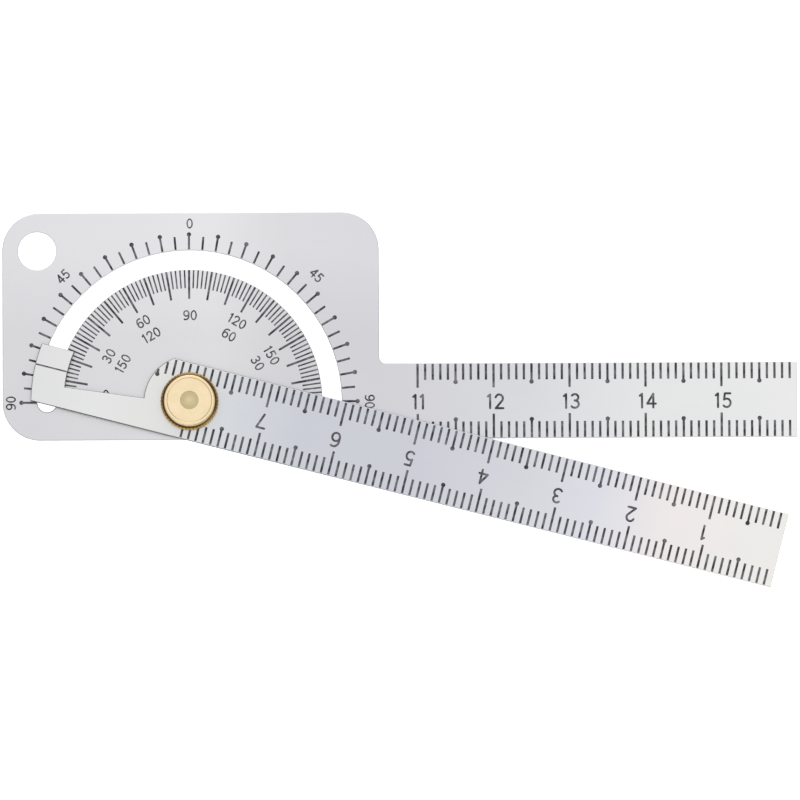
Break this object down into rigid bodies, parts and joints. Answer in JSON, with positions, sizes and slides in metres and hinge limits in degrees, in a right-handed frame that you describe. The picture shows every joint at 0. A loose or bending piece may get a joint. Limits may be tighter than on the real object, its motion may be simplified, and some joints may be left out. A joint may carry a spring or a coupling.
{
  "type": "protractor",
  "caption": "Flat pocket protractor: steel dial plate with a fixed rule blade and a swinging rule arm clamped by a brass thumb nut.",
  "frame": {"origin": "on the pivot axis, at the dial plate's flat back face", "axes": "+X along the fixed blade to its tip, +Y to the top of the dial, +Z out of the front face, towards the thumb nut"},
  "size_m": [0.1046, 0.0499, 0.0052],
  "materials": {
    "plate_steel": "satin stainless sheet, finely brushed along the blade",
    "arm_steel": "satin stainless sheet, finely brushed along the arm",
    "nut_brass": "bright turned brass with a knurled flange",
    "stud_brass": "turned brass, slightly dull",
    "spring_steel": "plain spring steel",
    "washer_fibre": "dark fibre",
    "scale_ink": "matt black enamel on etched lines"
  },
  "bodies": {
    "dial": {"dial_plate": "plate_steel", "pivot_stud": "stud_brass", "friction_washer": "washer_fibre", "outer_degree_lines": "scale_ink", "outer_degree_numbers": "scale_ink", "inner_degree_lines": "scale_ink", "inner_degree_numbers": "scale_ink", "blade_rule_lines": "scale_ink", "blade_rule_numbers": "scale_ink"},
    "arm": {"swing_arm": "arm_steel", "arm_rule_lines": "scale_ink", "arm_rule_numbers": "scale_ink", "index_line": "scale_ink"},
    "washer": {"spring_washer": "spring_steel"},
    "nut": {"thumb_nut": "nut_brass"}
  },
  "joints": [
    {"name": "arm_swing", "type": "hinge", "parent": "dial", "child": "arm", "pos_m": [0, 0, 0.0016], "axis": [0, 0, 1], "continuous": true},
    {"name": "nut_lift", "type": "slide", "parent": "dial", "child": "washer", "axis": [0, 0, 1], "range_m": [0, 0.00045]},
    {"name": "nut_turn", "type": "hinge", "parent": "washer", "child": "nut", "pos_m": [0, 0, 0.0035], "axis": [0, 0, 1], "range_deg": [0, 360]}
  ],
  "couplings": [
    {"joint": "nut_turn", "follows": "nut_lift", "rad_per_m": 13962}
  ]
}
